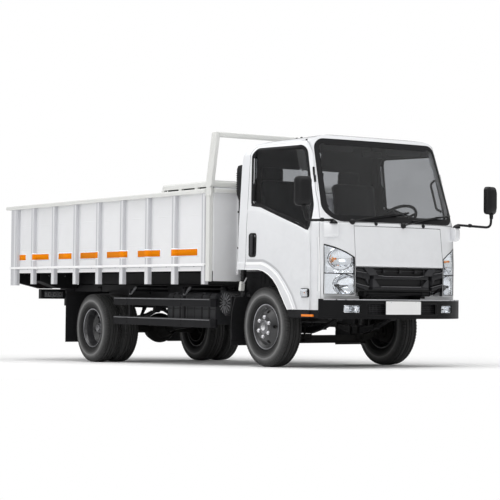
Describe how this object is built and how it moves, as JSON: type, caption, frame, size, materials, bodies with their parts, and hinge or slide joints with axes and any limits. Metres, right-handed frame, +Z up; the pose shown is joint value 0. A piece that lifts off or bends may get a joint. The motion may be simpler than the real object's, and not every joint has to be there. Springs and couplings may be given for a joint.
{
  "type": "dump truck",
  "caption": "Light cab-over dump truck with a tilting cab, hinged doors, steering, twin rear wheels and a staked steel bed that tips to the rear.",
  "frame": {"origin": "on the ground, under the middle of the overall length and width", "axes": "+X forwards, +Y to the vehicle's left, +Z up"},
  "size_m": [6.7712, 2.3908, 2.339],
  "materials": {
    "frame_black": "satin chassis black",
    "bumper_black": "satin black",
    "tank_black": "semi-matte dark grey",
    "cab_white": "gloss white",
    "cab_under": "matte underseal",
    "dark_glass": "tinted",
    "lamp_glass": "clear lamp lens over bright reflector",
    "tail_lamp_red": "lamp lens in a black box",
    "seat_cloth": "woven cloth",
    "dash_plastic": "grained",
    "rim_black": "satin black steel wheel",
    "tyre_rubber": "ribbed tread",
    "bed_grey_white": "semi-gloss grey-white",
    "guard_cream": "semi-gloss cream white",
    "rod_chrome": "polished rod"
  },
  "bodies": {
    "chassis": {"frame_rails": "frame_black", "frame_cross_members": "frame_black", "tipper_subframe": "frame_black", "front_bumper": "bumper_black", "side_guards": "bumper_black", "fuel_tank": "tank_black", "battery_box": "tank_black", "air_intake": "bumper_black", "exhaust_silencer": "frame_black", "engine_block": "tank_black", "radiator": "tank_black", "propeller_shaft": "frame_black", "leaf_springs": "frame_black", "mudguards": "bumper_black", "tail_lamps": "tail_lamp_red", "front_axle": "frame_black", "rear_axle": "frame_black"},
    "cab": {"cab_roof": "cab_white", "cab_rear_wall": "cab_white", "cab_front": "cab_white", "cab_floor": "cab_under", "cab_glass": "dark_glass", "grille": "bumper_black", "headlamps": "lamp_glass", "driver_seat": "seat_cloth", "passenger_seat": "seat_cloth", "dashboard": "dash_plastic", "mirrors": "bumper_black"},
    "door_right": {"door_right": "cab_white", "door_glass_right": "dark_glass"},
    "door_left": {"door_left": "cab_white", "door_glass_left": "dark_glass"},
    "front_lid": {"front_lid": "cab_white"},
    "steering_wheel": {"steering_wheel": "dash_plastic"},
    "knuckle_right": {"knuckle_right": "frame_black"},
    "knuckle_left": {"knuckle_left": "frame_black"},
    "tie_rod": {"tie_rod": "frame_black"},
    "front_wheel_right": {"front_wheel_right": "rim_black", "front_tyre_right": "tyre_rubber"},
    "front_wheel_left": {"front_wheel_left": "rim_black", "front_tyre_left": "tyre_rubber"},
    "rear_wheels_right": {"rear_wheels_right": "rim_black", "rear_tyres_right": "tyre_rubber"},
    "rear_wheels_left": {"rear_wheels_left": "rim_black", "rear_tyres_left": "tyre_rubber"},
    "bed": {"bed_floor": "bed_grey_white", "bed_side_right": "bed_grey_white", "bed_side_left": "bed_grey_white", "bed_front_wall": "bed_grey_white", "guard_frame": "guard_cream"},
    "tailgate": {"tailgate": "bed_grey_white"},
    "hoist_barrel": {"hoist_barrel": "frame_black"},
    "hoist_rod": {"hoist_rod": "rod_chrome"}
  },
  "joints": [
    {"name": "steer_left", "type": "hinge", "parent": "chassis", "child": "knuckle_left", "pos_m": [2.20373, 0.6, 0.388], "axis": [0, 0, 1], "range_deg": [-35, 35]},
    {"name": "steer_right", "type": "hinge", "parent": "chassis", "child": "knuckle_right", "pos_m": [2.20373, -0.6, 0.388], "axis": [0, 0, 1], "range_deg": [-35, 35]},
    {"name": "tie_rod_slide", "type": "slide", "parent": "chassis", "child": "tie_rod", "axis": [0, 1, 0], "range_m": [-0.11, 0.11]},
    {"name": "front_spin_left", "type": "hinge", "parent": "knuckle_left", "child": "front_wheel_left", "pos_m": [2.20373, 0.7, 0.388], "axis": [0, 1, 0], "continuous": true},
    {"name": "front_spin_right", "type": "hinge", "parent": "knuckle_right", "child": "front_wheel_right", "pos_m": [2.20373, -0.7, 0.388], "axis": [0, 1, 0], "continuous": true},
    {"name": "rear_spin_left", "type": "hinge", "parent": "chassis", "child": "rear_wheels_left", "pos_m": [-1.20626, 0.69, 0.388], "axis": [0, 1, 0], "continuous": true},
    {"name": "rear_spin_right", "type": "hinge", "parent": "chassis", "child": "rear_wheels_right", "pos_m": [-1.20626, -0.69, 0.388], "axis": [0, 1, 0], "continuous": true},
    {"name": "cab_tilt", "type": "hinge", "parent": "chassis", "child": "cab", "pos_m": [3.24712, 0, 0.69479], "axis": [0, 1, 0], "range_deg": [0, 45]},
    {"name": "door_right_hinge", "type": "hinge", "parent": "cab", "child": "door_right", "pos_m": [3.15805, -0.832, 1.07525], "axis": [0.0262, 0, 0.9997], "range_deg": [0, 70]},
    {"name": "door_left_hinge", "type": "hinge", "parent": "cab", "child": "door_left", "pos_m": [3.15805, 0.832, 1.07525], "axis": [-0.0262, 0, -0.9997], "range_deg": [0, 70]},
    {"name": "front_lid_hinge", "type": "hinge", "parent": "cab", "child": "front_lid", "pos_m": [3.31841, 0, 1.31614], "axis": [0, -1, 0], "range_deg": [0, 55]},
    {"name": "steering_wheel_turn", "type": "hinge", "parent": "cab", "child": "steering_wheel", "pos_m": [2.76109, 0.395, 1.42577], "axis": [-0.6227, 0, 0.7825], "range_deg": [-560, 560]},
    {"name": "bed_tip", "type": "hinge", "parent": "chassis", "child": "bed", "pos_m": [-3.06367, 0, 0.93807], "axis": [0, -1, 0], "range_deg": [0, 50]},
    {"name": "tailgate_swing", "type": "hinge", "parent": "bed", "child": "tailgate", "pos_m": [-3.34904, 0, 1.88287], "axis": [0, 1, 0], "range_deg": [0, 75]},
    {"name": "hoist_swing", "type": "hinge", "parent": "chassis", "child": "hoist_barrel", "pos_m": [-0.23922, 0, 0.68905], "axis": [0, 1, 0], "range_deg": [0, 14.9]},
    {"name": "hoist_extend", "type": "slide", "parent": "hoist_barrel", "child": "hoist_rod", "axis": [-0.9892, 0, 0.1466], "range_m": [0, 0.441]}
  ],
  "couplings": [
    {"joint": "steer_right", "follows": "steer_left", "ratio": 1},
    {"joint": "tie_rod_slide", "follows": "steer_left", "m_per_rad": -0.165},
    {"joint": "steering_wheel_turn", "follows": "steer_left", "ratio": 16},
    {"joint": "hoist_swing", "follows": "bed_tip", "ratio": 0.2875},
    {"joint": "hoist_extend", "follows": "bed_tip", "m_per_rad": 0.4997}
  ]
}
